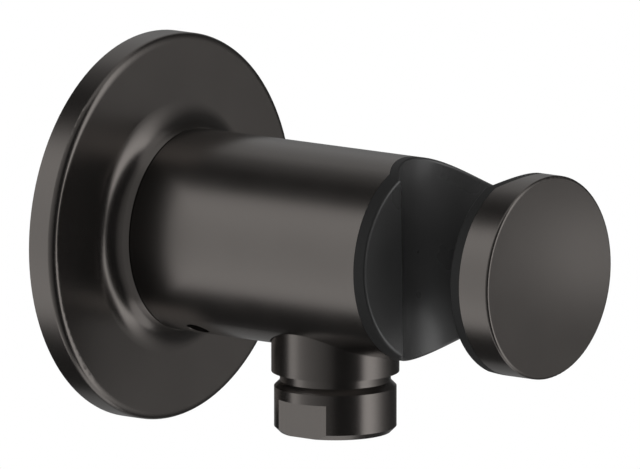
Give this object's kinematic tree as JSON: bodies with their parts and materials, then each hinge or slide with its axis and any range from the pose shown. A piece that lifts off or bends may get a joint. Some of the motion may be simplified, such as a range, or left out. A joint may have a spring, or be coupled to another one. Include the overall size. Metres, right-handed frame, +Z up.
{
  "type": "wall outlet elbow with hand shower holder",
  "caption": "Round wall outlet elbow for a shower hose: rosette and bar out of the wall, threaded outlet below, and a side-opening tapered seat that holds the hand shower.",
  "frame": {"origin": "centre of the rosette on the wall plane, on the axis of the wall thread", "axes": "+Y into the wall along the wall thread, -Y out of the wall along the bar, +Z up, the holder opens towards -X"},
  "size_m": [0.0668, 0.1042, 0.0668],
  "materials": {
    "graphite_brass": "satin graphite coating on brass",
    "plain_brass": "turned brass",
    "black_plastic": "moulded, fine matte",
    "black_rubber": "smooth",
    "grey_foam": "closed cell foam",
    "screw_steel": "stainless, blackened",
    "white_plastic": "moulded",
    "blue_plastic": "moulded",
    "spring_steel": "drawn wire"
  },
  "bodies": {
    "fitting": {"body": "graphite_brass", "rosette": "graphite_brass", "outlet_nipple": "graphite_brass", "wall_nipple": "plain_brass", "holder_liner": "black_plastic", "rosette_o_ring": "black_rubber", "front_spigot_o_ring": "black_rubber", "rear_spigot_o_ring": "black_rubber", "nipple_gasket": "black_rubber", "valve_o_ring": "black_rubber", "rosette_seal": "grey_foam", "grub_screw": "screw_steel", "valve_housing": "white_plastic", "valve_guide": "white_plastic", "valve_spring": "spring_steel"},
    "poppet": {"valve_poppet": "blue_plastic", "valve_lip_seal": "black_rubber"}
  },
  "joints": [
    {"name": "valve_opening", "type": "slide", "parent": "fitting", "child": "poppet", "axis": [0, 0, -1], "range_m": [0, 0.0025], "stiffness_N_per_m": 50, "springref_m": -0.003, "deforming": ["valve_spring"]}
  ]
}
